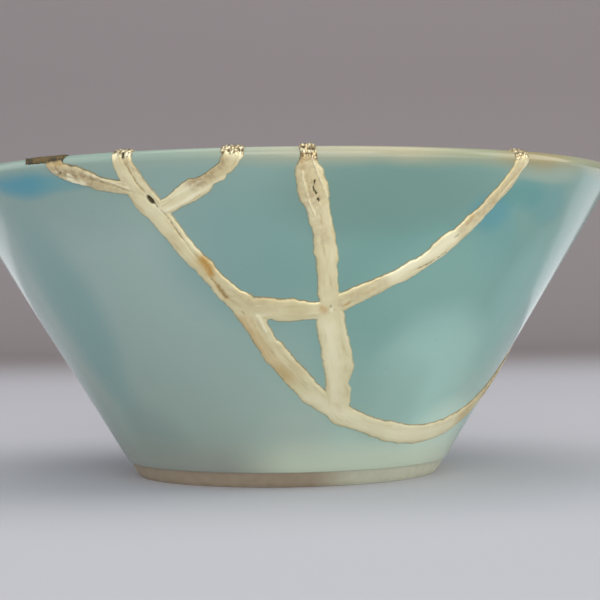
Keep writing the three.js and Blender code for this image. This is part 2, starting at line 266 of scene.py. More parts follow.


# Marks on the gold. A rise lifts or sinks the lacquer in millimetres. The looks, in the order of
# MARK_LOOKS: a dark gap or crease; an orange-brown stain; rubbed, dull wear, which at the left fork's top
# is painted shade; a painted highlight, on ridges and specks and where the gold gets little light; and a
# warmer, rosy painted highlight.
MARKS = [
    # The left fork, rubbed, with painted shade at its top and painted highlights on its specks and ridge
    mark([(-31.0, 63.7), (-28.6, 62.5), (-26.3, 61.5), (-24.5, 60.6)], 0.25, 0.12, bright=0.5),
    mark([(-30.6, 62.6), (-27.6, 61.4), (-24.6, 60.1), (-22.0, 59.1)], 0.2, -0.12, pit=0.3),
    mark([(-34.4, 62.8), (-33.1, 61.9), (-31.9, 61.7)], 0.75, 0.14, bright=1.0),
    mark([(-38.4, 65.0), (-34.6, 63.6), (-32.4, 63.2), (-29.4, 61.9)], 2.6, worn=1.0),
    mark([(-28.6, 61.8), (-25.4, 60.8)], 1.6, worn=0.6),
    mark([(-39.4, 65.9), (-34.4, 65.5)], 0.8, worn=1.0, stain=0.35, pit=0.25),
    mark([(-36.5, 64.3), (-36.2, 64.2)], 0.3, 0.16, bright=1.0),
    mark([(-35.7, 64.1), (-35.5, 64.1)], 0.3, -0.1, pit=0.7),
    mark([(-34.2, 63.6), (-33.9, 63.4)], 0.34, 0.18, bright=1.0),
    mark([(-33.4, 63.5), (-33.2, 63.4)], 0.25, -0.1, pit=0.5),

    # The long seam: gathered leaf with painted highlights, the void with a painted highlight below it, the
    # olive crease and the orange-brown spots
    mark([(-22.9, 65.0), (-21.6, 62.0), (-20.6, 60.0)], 0.7, worn=0.5),
    mark([(-25.2, 67.0), (-22.2, 67.0)], 0.35, stain=0.9, pit=0.25),
    mark([(-24.9, 66.6), (-24.8, 65.9)], 0.35, 0.12, bright=0.6),
    mark([(-23.9, 66.4), (-23.8, 65.7)], 0.3, -0.2, pit=0.9),
    mark([(-23.3, 66.2), (-22.5, 66.2)], 0.4, 0.16, bright=1.0),
    mark([(-23.7, 65.2), (-23.2, 63.3), (-22.6, 61.1), (-21.8, 59.7)], 0.3, -0.2, pit=0.4, stain=0.3),
    mark([(-21.3, 58.7), (-20.85, 57.9)], 0.56, -0.3, pit=1.0),
    mark([(-20.5, 57.4), (-20.1, 56.9)], 0.3, -0.2, pit=0.65),
    mark([(-20.1, 56.8), (-19.7, 55.8)], 0.4, 0.2, bright=1.0),
    mark([(-19.9, 56.5), (-19.1, 55.2), (-18.3, 53.2), (-17.3, 51.0)], 0.26, -0.16, pit=0.4, stain=0.3),
    mark([(-17.3, 51.0), (-16.2, 48.7), (-15.2, 46.8)], 0.2, -0.12, pit=0.3),
    mark([(-14.4, 46.9), (-13.8, 45.7)], 1.3, -0.03, stain=1.0),
    mark([(-13.6, 45.2), (-13.4, 44.3)], 1.0, -0.03, stain=1.0),
    mark([(-13.7, 43.7), (-12.6, 41.9)], 0.4, -0.1, pit=0.35, stain=0.5),
    mark([(-12.6, 41.9), (-11.2, 39.7)], 0.65, -0.1, pit=0.42, stain=0.7),
    mark([(-8.5, 36.8), (-8.2, 36.6)], 0.3, -0.06, pit=0.6),
    mark([(-5.5, 36.0), (-4.8, 34.7), (-4.1, 33.1)], 0.4, 0.12, bright=0.9),
    mark([(-8.6, 35.4), (-6.4, 31.4), (-3.4, 27.2), (0.8, 23.2)], 1.7, stain=0.4),
    mark([(-7.0, 35.4), (-5.8, 32.6), (-4.4, 30.2)], 0.5, -0.05, stain=0.35),

    # The short slanting seam, rubbed near the lip, with painted highlights along it
    mark([(-9.0, 64.6), (-10.8, 62.6), (-13.4, 61.0)], 1.8, worn=1.0),
    mark([(-12.4, 61.4), (-14.8, 59.9), (-17.6, 58.4)], 0.3, 0.08, bright=0.5),
    mark([(-12.9, 59.2), (-16.1, 57.4), (-19.0, 56.2)], 0.45, 0.08, bright=0.9),
    mark([(-8.6, 61.9), (-10.6, 60.6), (-12.8, 59.2)], 0.6, 0.05, bright=0.6),

    # The upright seam and the cross seam: folds at the lip with dark slots and painted highlights, two
    # ridges with painted highlights, a broken crease, and painted light on the upright low down
    mark([(-11.0, 40.6), (-8.0, 38.6), (-3.0, 37.8)], 1.6, worn=0.3),
    mark([(1.6, 67.0), (5.2, 67.0)], 0.35, stain=0.9, pit=0.2),
    mark([(1.7, 66.0), (5.3, 66.0)], 1.4, stain=0.7),
    mark([(3.0, 64.5), (4.4, 58.0)], 2.8, worn=0.7),
    mark([(4.4, 58.0), (6.2, 50.5)], 2.6, worn=0.4),
    mark([(2.3, 66.4), (2.9, 66.4)], 0.22, -0.16, pit=1.0),
    mark([(3.6, 66.3), (4.4, 66.3)], 0.22, -0.16, pit=1.0),
    mark([(2.2, 66.0), (3.0, 65.9)], 0.2, 0.12, bright=1.0),
    mark([(3.6, 65.8), (4.5, 65.8)], 0.2, 0.12, bright=1.0),
    mark([(2.3, 64.4), (2.6, 64.3)], 0.5, stain=0.4),
    mark([(4.4, 64.9), (4.9, 64.6)], 0.35, stain=0.5, pit=0.15),
    mark([(2.7, 62.8), (2.9, 61.2), (3.5, 58.9), (4.2, 56.5), (4.8, 54.9)], 0.16, 0.18, bright=0.7),
    mark([(4.3, 64.4), (5.0, 62.4), (5.9, 60.1), (6.8, 57.9)], 0.17, 0.2, bright=0.7),
    mark([(3.9, 62.2), (3.9, 60.9)], 0.18, 0.06, bright=0.4),
    mark([(4.6, 61.0), (4.5, 60.3)], 0.22, -0.16, pit=1.0),
    mark([(4.35, 59.9), (4.6, 59.4)], 0.2, -0.16, pit=1.0),
    mark([(4.7, 59.2), (4.95, 58.7)], 0.22, -0.16, pit=1.0),
    mark([(5.0, 58.4), (5.45, 57.3)], 0.2, -0.16, pit=1.0),
    mark([(3.4, 63.9), (4.0, 63.4)], 0.9, worn=0.6),
    mark([(7.2, 37.3), (7.7, 36.9)], 0.9, -0.04, stain=0.6),
    mark([(8.8, 37.8), (8.8, 37.7)], 0.4, -0.06, pit=0.45),
    mark([(9.6, 37.1), (9.7, 37.0)], 0.35, -0.06, pit=0.35),
    mark([(11.4, 37.7), (12.6, 38.4)], 0.28, -0.06, stain=0.8, pit=0.25),
    mark([(11.0, 27.0), (11.5, 23.0), (12.0, 18.8)], 0.22, -0.06, pit=0.1, stain=0.1),
    mark([(8.8, 33.5), (9.6, 30.5), (10.9, 25.0), (12.2, 19.0)], 1.7, 0.03, bright=0.75),
    mark([(8.9, 36.9), (9.0, 36.8)], 0.3, 0.1, bright=1.0),
    mark([(12.9, 17.6), (13.6, 16.4)], 0.6, -0.06, stain=0.3),

    # The right slanting seam, lightened in its middle with painted light, and with a painted highlight near
    # its top
    mark([(32.7, 54.8), (31.9, 53.4)], 0.45, stain=0.5),
    mark([(30.5, 50.8), (31.0, 51.2)], 0.5, -0.06, pit=0.4),
    mark([(34.6, 57.6), (33.0, 54.9), (31.2, 52.3)], 1.3, worn=0.45),
    mark([(30.0, 50.6), (27.5, 48.2), (24.4, 46.2), (20.0, 43.6)], 1.9, 0.04, bright=1.0),
    mark([(39.0, 63.0), (36.4, 58.4), (33.0, 54.4)], 1.8, worn=0.6),
    mark([(24.4, 44.5), (27.0, 45.9), (29.6, 47.8)], 0.22, -0.1, pit=0.45, stain=0.2),
    mark([(15.0, 40.0), (17.2, 41.0)], 0.4, stain=0.25, pit=0.1),
    mark([(10.5, 38.2), (19.0, 42.2)], 1.8, worn=0.35),
    mark([(39.6, 64.4), (37.8, 60.6), (36.4, 58.0)], 0.3, 0.08, bright=0.4),

    # The long seam's low sweep, lightened with painted light where little light reaches it and with a rosy
    # painted highlight, and its far part round the side
    mark([(6.0, 19.5), (13.0, 16.5), (20.0, 14.0), (31.0, 11.0)], 2.0, 0.02, bright=0.7),
    mark([(31.0, 11.3), (41.5, 10.5), (50.0, 10.9), (57.0, 12.2)], 2.6, bright=1.0),
    mark([(54.0, 11.6), (66.0, 14.8)], 2.0, stain=0.3),
    mark([(74.0, 18.4), (97.0, 33.5)], 3.0, worn=1.0),
    mark([(33.0, 11.0), (39.0, 10.4), (46.0, 10.4)], 1.5, rosy=0.9),
]
MARK_LOOKS = ("pit", "stain", "worn", "bright", "rosy")

# Everything noted of a point of the gold: how far across its band it is, how far along, how much it
# faces up, whether it is gathered leaf or dull filler, and the looks of the marks
LOOKS = ("across", "along", "upper", "crumpled", "patch", *MARK_LOOKS)


def wall_point(height, depth):
    """A point of the wall's section: up the outer face, then straight into the wall by depth."""
    radius = BASE_RADIUS + FLARE * height - depth * math.cos(LEAN)
    return radius, height + depth * math.sin(LEAN)


def arc(centre, radius, start, end, steps):
    """Points of a section's arc, with its angles in radians."""
    angles = (start + (end - start) * step / steps for step in range(steps + 1))
    return [(centre[0] + radius * math.cos(a), centre[1] + radius * math.sin(a)) for a in angles]


def rounded_corner(before, corner, after, radius):
    """The arc that rounds a corner of a section."""
    start, middle, end = (Vector(point) for point in (before, corner, after))
    into = (start - middle).normalized()
    away = (end - middle).normalized()
    half_angle = into.angle(away) / 2
    trim = radius / math.tan(half_angle)
    centre = middle + (into + away).normalized() * (radius / math.sin(half_angle))
    first = middle + into * trim - centre
    turn = first.angle_signed(middle + away * trim - centre)
    start_angle = math.atan2(first.y, first.x)
    return arc(centre, radius, start_angle, start_angle - turn, CORNER_STEPS)


def divided(start, end, longest):
    """The points between two ends, evenly spaced and no further apart than longest."""
    steps = math.ceil(math.dist(start, end) / longest)
    return [tuple(Vector(start).lerp(end, step / steps)) for step in range(1, steps)]


def bowl_section():
    """The bowl's whole section, from the recess under the foot round to the middle of its floor."""
    foot_edge = wall_point(FOOT_CHAMFER, GLAZE_STEP)
    ring_outer = foot_edge[0] - FOOT_CHAMFER
    ring_inner = ring_outer - FOOT_RING_WIDTH
    fillet_centre_height = FLOOR_HEIGHT + FLOOR_FILLET
    fillet_foot = fillet_centre_height - (WALL + FLOOR_FILLET) * math.sin(LEAN)
    fillet_centre = wall_point(fillet_foot, WALL + FLOOR_FILLET)

    # The foot's corners, each with the radius that rounds it
    foot = [
        ((0, RECESS_HEIGHT), 0),
        ((ring_inner - FOOT_CHAMFER, RECESS_HEIGHT), 0.5),
        ((ring_inner, 0), 0.4),
        ((ring_outer, 0), 0.3),
        (foot_edge, 0.3),
        (wall_point(FOOT_HEIGHT, GLAZE_STEP), 0.12),
        (wall_point(FOOT_HEIGHT, 0), 0.2),
        (wall_point(LIP_HEIGHT, 0), 0),
    ]
    points = [foot[0][0]]
    for (before, _), (corner, radius), (after, _) in zip(foot, foot[1:], foot[2:]):
        rounding = rounded_corner(before, corner, after, radius)
        points += divided(points[-1], rounding[0], RING_STEP) + rounding
    points += divided(points[-1], wall_point(LIP_HEIGHT, 0), RING_STEP)
    points += arc(wall_point(LIP_HEIGHT, LIP_RADIUS), LIP_RADIUS, -LEAN, math.pi - LEAN, LIP_STEPS)
    points += divided(points[-1], wall_point(fillet_foot, WALL), RING_STEP)
    points += arc(fillet_centre, FLOOR_FILLET, -LEAN, -math.pi / 2, FILLET_STEPS)
    points += divided(points[-1], (0, FLOOR_HEIGHT), 2 * RING_STEP)
    return points + [(0, FLOOR_HEIGHT)]


def new_object(name, shape):
    """Makes an object of a bmesh and frees the bmesh."""
    mesh = bpy.data.meshes.new(name)
    shape.to_mesh(mesh)
    shape.free()
    made = bpy.data.objects.new(name, mesh)
    bpy.context.scene.collection.objects.link(made)
    return made


def whole_bowl():
    """The bowl as it was before it broke: a slice turned from its section, doubled until it is round."""
    shape = bmesh.new()
    ring = [shape.verts.new((radius, 0, height)) for radius, height in bowl_section()]
    line = [shape.edges.new(pair) for pair in zip(ring, ring[1:])]
    slice_angle = math.tau / 2**WHEEL_DOUBLINGS
    bmesh.ops.spin(
        shape, geom=ring + line, axis=(0, 0, 1), cent=(0, 0, 0),
        angle=slice_angle, steps=SLICE_STEPS, use_merge=False,
    )
    for doubling in range(WHEEL_DOUBLINGS):
        geometry = [*shape.verts, *shape.edges, *shape.faces]
        copied = bmesh.ops.duplicate(shape, geom=geometry)["geom"]
        copied = [part for part in copied if isinstance(part, bmesh.types.BMVert)]
        turn = Matrix.Rotation(slice_angle * 2**doubling, 3, "Z")
        bmesh.ops.rotate(shape, verts=copied, cent=(0, 0, 0), matrix=turn)
    bmesh.ops.remove_doubles(shape, verts=shape.verts, dist=SLICE_WELD)
    bmesh.ops.recalc_face_normals(shape, faces=shape.faces)
    shape.normal_update()
    for vertex in shape.verts:
        if vertex.co.z > FOOT_HEIGHT:
            swell = noise.noise(vertex.co / GLAZE_SWELL_SPAN) - 1  # always inward
            vertex.co += vertex.normal * GLAZE_SWELL * swell
    return new_object("whole_bowl", shape)


def on_wall(azimuth, place, rise):
    """Points of the wall, as an array of x, y and z.

    A place is a distance from the lip's outer edge: below 0 down the outer wall, then over the lip,
    and from LIP_ARC on down the inner wall. Rise is the height above the face there."""
    height = LIP_HEIGHT + (np.minimum(place, 0) - np.maximum(place - LIP_ARC, 0)) * math.cos(LEAN)
    slope = np.clip(place / LIP_RADIUS, 0, math.pi) - LEAN
    reach = LIP_RADIUS + rise
    radius = BASE_RADIUS + FLARE * height - LIP_RADIUS * math.cos(LEAN) + reach * np.cos(slope)
    level = height + LIP_RADIUS * math.sin(LEAN) + reach * np.sin(slope)
    angle = np.radians(azimuth)
    return np.stack(np.broadcast_arrays(radius * np.sin(angle), -radius * np.cos(angle), level), axis=-1)


def place_of(height):
    """The place on the outer wall at this height."""
    return (height - LIP_HEIGHT) / math.cos(LEAN)


def radius_at(place):
    """How far a place of the wall is from the bowl's axis."""
    point = on_wall(0.0, place, 0.0)
    return -point[..., 1]


def smooth_line(stations):
    """A centripetal Catmull-Rom line through the stations, as rows of azimuth, height and width."""
    points = [Vector(station) for station in stations]
    points = [2 * points[0] - points[1], *points, 2 * points[-1] - points[-2]]
    rows = []
    for before, start, end, after in zip(points, points[1:], points[2:], points[3:]):
        gaps = [math.sqrt((b - a).length) for a, b in ((before, start), (start, end), (end, after))]
        leave = (start - before) / gaps[0] - (end - before) / (gaps[0] + gaps[1])
        leave = (leave + (end - start) / gaps[1]) * gaps[1]
        arrive = (end - start) / gaps[1] - (after - start) / (gaps[1] + gaps[2])
        arrive = (arrive + (after - end) / gaps[2]) * gaps[1]
        for t in np.linspace(0, 1, LINE_STEPS, endpoint=False):
            row = start * (2 * t**3 - 3 * t**2 + 1) + end * (3 * t**2 - 2 * t**3)
            rows.append(row + leave * (t**3 - 2 * t**2 + t) + arrive * (t**3 - t**2))
    rows.append(points[-2])
    return np.array(rows)


def ends_at_lip(station):
    return station[1] == LIP_HEIGHT


def outside_route(stations):
    """A seam's line on the outer wall, as rows of azimuth, place and width."""
    at_lip = filter(ends_at_lip, stations)
    past = [(azimuth, height + LIP_RUN, width) for azimuth, height, width in at_lip]
    full = list(stations)
    if ends_at_lip(stations[0]):
        full.insert(0, past[0])
    if ends_at_lip(stations[-1]):
        full.append(past[-1])
    rows = smooth_line(full)
    rows[:, 1] = place_of(rows[:, 1])
    return rows


def inside_route(stations):
    """The same line on the inner wall."""
    rows = outside_route(stations)
    rows[:, 1] = LIP_ARC - rows[:, 1]
    return rows


def band_routes(name):
    """The lines of a seam's gold bands: one that goes over the lip, or one on each face."""
    stations = [*LEADS.get(name, []), *SEAMS[name], *TAILS.get(name, [])]
    outside = outside_route(stations)
    inside = inside_route(stations)
    if not ends_at_lip(stations[0]):
        return [outside, inside]
    if ends_at_lip(stations[-1]):
        overlap = outside[outside[:, 1] > -RIM_OVERLAP]
        overlap = overlap[overlap[:, 0] < 0]
        return [np.concatenate([outside, inside[::-1], overlap])]
    return [np.concatenate([outside[::-1], inside])]


def evenly(route, fine, coarse):
    """Spaces a line's rows evenly, closer where it shows from outside, and adds each row's distance."""
    azimuth, place, width = route.T
    across = np.diff(np.radians(azimuth)) * radius_at((place[1:] + place[:-1]) / 2)
    lengths = np.hypot(across, np.diff(place))
    distance = np.concatenate([[0], np.cumsum(lengths)])
    step = np.where(place[1:] > LIP_ARC + COARSE_START, coarse, fine)
    effort = np.concatenate([[0], np.cumsum(lengths / step)])
    marks = np.linspace(0, effort[-1], math.ceil(effort[-1]) + 1)
    return np.stack([np.interp(marks, effort, each) for each in (azimuth, place, width, distance)])


def directions(azimuth, place, distance):
    """The unit direction across a line at each row, in the flat pattern of the wall."""
    radius = radius_at(place)
    heading_x = np.gradient(np.radians(azimuth)) * radius
    heading_y = np.gradient(place)
    heading = np.unwrap(np.arctan2(heading_y, heading_x))
    smoothed = np.empty_like(heading)
    for row, here in enumerate(distance):
        near = np.abs(distance - here) < ALONG_SMOOTHING / 2
        smoothed[row] = heading[near].mean()
    return np.sin(smoothed), -np.cos(smoothed)


def noise_along(values, span, seed):
    """Smooth noise from -1 to 1 along a line of distances."""
    return np.array([noise.noise((value / span, seed, 0.5)) for value in values])


def ragged_half_width(width, distance, seed):
    """Half a band's width along one of its edges, as a brush leaves it."""
    waves = [
        share * noise_along(distance, span, seed + WAVE_SEED * turn)
        for turn, (share, span) in enumerate(EDGE_WAVES)
    ]
    return width / 2 * sum(waves, start=1)


def distance_to_route(azimuth, place, route):
    """How far each point of the outer wall is from a mark's route, in millimetres."""
    radius = radius_at(place)
    stations = [(math.radians(station[0]), place_of(station[1])) for station in route]
    nearest = np.full(azimuth.shape, np.inf)
    for (start_angle, start_place), (end_angle, end_place) in zip(stations, stations[1:]):
        from_x = (np.radians(azimuth) - start_angle) * radius
        from_y = place - start_place
        along_x = (end_angle - start_angle) * radius
        along_y = end_place - start_place
        share = (from_x * along_x + from_y * along_y) / (along_x**2 + along_y**2)
        share = np.clip(share, 0, 1)
        gap = np.hypot(from_x - share * along_x, from_y - share * along_y)
        nearest = np.minimum(nearest, gap)
    return nearest


def changed_half_width(half, azimuth, place, across_x, across_y):
    """Half a band's width along one of its edges, after what EDGE_CHANGES says of the edge there."""
    edge_azimuth = azimuth + np.degrees(half * across_x / radius_at(place))
    edge_place = place + half * across_y
    for route, reach, change in EDGE_CHANGES:
        gap = distance_to_route(edge_azimuth, edge_place, route)
        half = half + change * np.exp(-((gap / reach) ** 2))
    return half


class Lacquer:
    """Gathers what each point of the gold looks like, so that it survives the joining of the bands."""

    def __init__(self):
        self.points = []
        self.looks = {name: [] for name in LOOKS}

    def note(self, points, **looks):
        self.points.append(points.reshape(-1, 3))
        for name, values in self.looks.items():
            given = looks.get(name, 0.0)
            values.append(np.broadcast_to(given, points.shape[:2]).ravel())

    def pass_on(self, piece):
        """Gives every vertex of the joined piece the looks of the nearest point noted."""
        points = np.concatenate(self.points)
        tree = KDTree(len(points))
        for index, point in enumerate(points):
            tree.insert(point, index)
        tree.balance()
        nearest = np.array([tree.find(vertex.co)[1] for vertex in piece.data.vertices])
        for name, values in self.looks.items():
            attribute = piece.data.attributes.new(name, "FLOAT", "POINT")
            attribute.data.foreach_set("value", np.concatenate(values)[nearest].astype(np.float32))


def closed_tube(name, corners):
    """A closed solid wrapped from a grid of points: columns go round it, rows go along it."""
    rows, columns = corners.shape[:2]
    shape = bmesh.new()
    bmesh.ops.create_grid(shape, x_segments=columns - 1, y_segments=rows - 1, size=0.5)
    for vertex in shape.verts:
        column = round((vertex.co.x + 0.5) * (columns - 1))
        row = round((vertex.co.y + 0.5) * (rows - 1))
        vertex.co = corners[row, column]
    bmesh.ops.remove_doubles(shape, verts=shape.verts, dist=TUBE_WELD)
    bmesh.ops.holes_fill(shape, edges=shape.edges, sides=0)
    bmesh.ops.recalc_face_normals(shape, faces=shape.faces)
    return new_object(name, shape)


def surface_noise(points, height, span):
    """Noise at each point of a grid of points, up to a height and varying over a span."""
    flat = points.reshape(-1, 3) / span
    return height * np.array([noise.noise(point) for point in flat]).reshape(points.shape[:2])


def gathered(points, span):
    """Sharp folds, as leaf makes where it is gathered."""
    flat = points.reshape(-1, 3) / span
    folds = [noise.voronoi(point)[0] for point in flat]
    heights = [FOLD_SLOPE * (near[1] - near[0]) - FOLD_DEPTH for near in folds]
    return np.clip(np.array(heights), -1, 1).reshape(points.shape[:2])


def marked(azimuths, places, bare):
    """What the marks do at each point: how far they lift the lacquer, and the looks they give it."""
    lift = np.zeros(azimuths.shape)
    wobble = surface_noise(bare, *MARK_WAVE)
    looks = {look: np.zeros(azimuths.shape) for look in MARK_LOOKS}
    for each in MARKS:
        gap = distance_to_route(azimuths, places, each["route"])
        gap = np.maximum(gap + wobble, 0)
        strength = np.exp(-((gap / each["width"]) ** 2) * MARK_FALLOFF)
        strength = np.where(places > LIP_TOP, 0, strength)
        lift += each["rise"] * strength
        for look in MARK_LOOKS:
            looks[look] = np.maximum(looks[look], each.get(look, 0) * strength)
    return lift, looks


def lip_looks(azimuths, places, bare, gather):
    """Where leaf is gathered over the lip, and where dull filler takes its place at the chip."""
    from_lip = np.abs(places - LIP_TOP) - LIP_TOP
    reach = gather + surface_noise(bare, *GATHER_WAVE)
    crumpled = np.clip((reach - from_lip) / GATHER_FADE, 0, 1)
    patch_edge = PATCH_START + surface_noise(bare, *PATCH_WAVE)
    patch = np.clip((places - patch_edge) / PATCH_FADE, 0, 1)
    at_chip = (azimuths > CHIP["from"] - PATCH_MARGIN) & (azimuths < CHIP["to"] + PATCH_MARGIN)
    return {"crumpled": np.where(at_chip, 0, crumpled), "patch": np.where(at_chip, patch, 0)}


def gold_band(name, route, share, gather, seed, lacquer):
    """One brush line of gold lacquer on the wall, with its ridges, creases and gathered leaf at the lip."""
    azimuth, place, width, distance = evenly(route, FINE_STEP, COARSE_STEP)
    across_x, across_y = directions(azimuth, place, distance)
    left = ragged_half_width(width, distance, seed)
    left = changed_half_width(left, azimuth, place, -across_x, -across_y)
    right = ragged_half_width(width, distance, seed + EDGE_SEED)
    right = changed_half_width(right, azimuth, place, across_x, across_y)

    # Rows lie along the band. Columns go from its left edge over the crown and back underneath.
    crown = -np.cos(np.linspace(0, math.pi, CROWN_COLUMNS + 1))
    under = np.linspace(1, -1, UNDER_COLUMNS + 2)[1:-1]
    across = np.concatenate([crown, under, crown[:1]])[None, :]
    along = distance[:, None]
    offset = np.where(across < 0, left[:, None], right[:, None]) * across
    azimuths = azimuth[:, None] + np.degrees(offset * across_x[:, None] / radius_at(place)[:, None])
    places = place[:, None] + offset * across_y[:, None]
    bare = on_wall(azimuths, places, 0.0)
    lift, looks = marked(azimuths, places, bare)
    looks.update(lip_looks(azimuths, places, bare, gather))

    folds = gathered(bare, FOLD_SPAN)
    # Painted shade in the bottoms of the folds, carried in the same look as the pits
    shade = np.clip(-folds - FOLD_SHADE_START, 0, 1) * FOLD_SHADE * looks["crumpled"]
    looks["pit"] = np.maximum(looks["pit"], shade)
    drawn = np.broadcast_arrays(offset / STREAK_WIDTH, along / STREAK_LENGTH, seed)
    streaks = surface_noise(np.stack(drawn, axis=-1), STREAK_RISE, 1.0)
    ripples = sum(surface_noise(bare, *ripple) for ripple in RIPPLES)
    relief = streaks + ripples + lift + FOLD_RISE * folds * looks["crumpled"]
    relief += GATHER_RISE * looks["crumpled"]

    rounded = np.clip(1 - np.abs(across) ** FLAT_TOP, 0, 1) ** SHOULDER
    body = BAND_RISE * share * rounded * (1 + MIDDLE_SWELL - MIDDLE_SWELL * across**2)
    from_end = np.minimum(along, distance[-1] - along)
    rise = body + rounded * relief
    rise *= 1 - END_THINNING + END_THINNING * np.clip(from_end / END_LENGTH, 0, 1)
    rise *= 1 - PATCH_THINNING * looks["patch"]
    rise = np.clip(rise, LOWEST_RISE, HIGHEST_RISE)
    on_top = (np.arange(across.size) <= CROWN_COLUMNS) & (rounded > 0)
    points = on_wall(azimuths, places, np.where(on_top, rise, -BAND_SINK - SINK_STEP * seed))
    lacquer.note(points, across=across, along=along, upper=across * across_y[:, None], **looks)
    return closed_tube(name, points)


def blade(name, stations, width, reach):
    """A blade along a seam, through the wall and past each face by reach, that cuts or fills a joint."""
    azimuth, place, _ = outside_route(stations).T
    stop = LIP_TOP - BLADE_STOP
    if ends_at_lip(stations[0]):
        azimuth = np.concatenate([np.full(BLADE_LIP_STEPS, azimuth[0]), azimuth])
        place = np.concatenate([np.linspace(stop, place[0], BLADE_LIP_STEPS + 1)[:-1], place])
    if ends_at_lip(stations[-1]):
        azimuth = np.concatenate([azimuth, np.full(BLADE_LIP_STEPS, azimuth[-1])])
        place = np.concatenate([place, np.linspace(place[-1], stop, BLADE_LIP_STEPS + 1)[1:]])
    no_width = np.zeros_like(place)
    route = np.stack([azimuth, place, no_width], axis=1)
    azimuth, place, _, distance = evenly(route, BLADE_STEP, BLADE_STEP)
    across_x, across_y = directions(azimuth, place, distance)
    half = width / 2
    turn = np.degrees(half * across_x / radius_at(place))
    corners = [
        on_wall(azimuth - turn, place - half * across_y, reach),
        on_wall(azimuth + turn, place + half * across_y, reach),
        on_wall(azimuth + turn, LIP_ARC - place - half * across_y, reach),
        on_wall(azimuth - turn, LIP_ARC - place + half * across_y, reach),
    ]
    return closed_tube(name, np.stack([*corners, corners[0]], axis=1))


def chip_block(over, lumps, gap):
    """What the chip takes out of the rim, or the filler in it: how far it stands over the lip, how
    lumpy its top is, and the gap between it and the chip's own faces."""
    azimuths = np.linspace(CHIP["from"] + gap, CHIP["to"] - gap, CHIP_STEPS)
    share = np.linspace(-1, 1, CHIP_STEPS)
    ragged = CHIP_WAVE[0] * noise_along(azimuths, CHIP_WAVE[1], CHIP_SEED)
    edge = np.sqrt(np.clip(1 - share**CHIP_SQUARENESS, 0, 1))
    outer = CHIP["outer"] + CHIP["slant"] * share + CHIP["waver"] * ragged
    columns = []
    for turn in np.linspace(0, 1, CHIP_COLUMNS):
        place = outer + (CHIP["inner"] - outer) * turn
        rough = surface_noise(on_wall(azimuths, place, 0.0)[:, None], lumps, LUMP_SPAN)[:, 0]
        columns.append(on_wall(azimuths, place, (over + rough) * edge))
    bottom = HEIGHT - CHIP["depth"] * edge * (1 + ragged) + gap
    angle = np.radians(azimuths)
    for side in (-CHIP_FLOOR, CHIP_FLOOR):
        radius = radius_at(LIP_TOP) + side * LIP_RADIUS
        columns.append(np.stack([radius * np.sin(angle), -radius * np.cos(angle), bottom], axis=1))
    return np.stack([*columns, columns[0]], axis=1)


def joined(base, tool, operation):
    """Cuts, adds or keeps what a tool says, and removes the tool."""
    step = base.modifiers.new(operation, "BOOLEAN")
    step.operation = operation
    step.solver = "MANIFOLD"
    step.object = tool
    shown = base.evaluated_get(bpy.context.evaluated_depsgraph_get())
    result = bpy.data.meshes.new_from_object(shown)
    base.modifiers.clear()
    base.data = result
    bpy.data.objects.remove(tool)
    return base


def to_metres(piece, sharp_angle):
    """Brings a piece to its real size in metres, shaded smooth except at its sharp edges."""
    piece.data.transform(Matrix.Scale(MM, 4))
    piece.data.shade_smooth()
    piece.data.set_sharp_from_angle(angle=math.radians(sharp_angle))


def dressed(piece, node, material):
    """Gives a piece its finish, and puts it in the place of the plain solid of its node."""
    piece.data.materials.clear()
    piece.data.materials.append(material)
    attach(piece, "root")
    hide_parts(node)


def islands(shape):
    """The separate bodies in a bmesh, each as the set of its faces."""
    left = set(shape.faces)
    while left:
        body = {left.pop()}
        front = list(body)
        while front:
            face = front.pop()
            near = {other for edge in face.edges for other in edge.link_faces} & left
            left -= near
            body |= near
            front += near
        yield body


def nearest_corner(faces, spot):
    """How near the corners of some faces come to a spot."""
    return min((vertex.co - spot).length_squared for face in faces for vertex in face.verts)


def broken_bowl():
    """The sherds by name: the whole bowl, cut along the seams and at the chip, and parted."""
    bowl = whole_bowl()
    for name, stations in SEAMS.items():
        joined(bowl, blade(f"cut_{name}", stations, CUT_WIDTH, CUT_REACH), "DIFFERENCE")
    joined(bowl, closed_tube("chip_cut", chip_block(CHIP_CUT_REACH, 0.0, 0.0)), "DIFFERENCE")
    found = {}
    for name, (azimuth, height) in SHERDS.items():
        spot = Vector(on_wall(azimuth, place_of(height), 0.0))
        shape = bmesh.new()
        shape.from_mesh(bowl.data)
        sherd = min(islands(shape), key=lambda faces: nearest_corner(faces, spot))
        others = [face for face in shape.faces if face not in sherd]
        bmesh.ops.delete(shape, geom=others, context="FACES")
        found[name] = new_object(name, shape)
    bpy.data.objects.remove(bowl)
    return found


def gold_lacquer():
    """All the lacquer as one body: the bands on both faces, what fills the joints, and the filled chip."""
    lacquer = Lacquer()
    shells = []
    for seed, (name, stations) in enumerate(SEAMS.items()):
        for side, route in enumerate(band_routes(name)):
            band = f"band_{name}_{side}"
            shells.append(gold_band(band, route, *BANDS[name], seed + FACE_SEED * side, lacquer))
        shells.append(blade(f"joint_{name}", stations, JOINT_WIDTH, JOINT_RISE))
    filler = chip_block(FILLER_RISE, FILLER_LUMPS, FILLER_GAP)
    lacquer.note(filler, patch=1.0)
    shells.append(closed_tube("chip_fill", filler))
    gold = shells[0]
    for shell in shells[1:]:
        joined(gold, shell, "UNION")
    lacquer.pass_on(gold)
    return gold


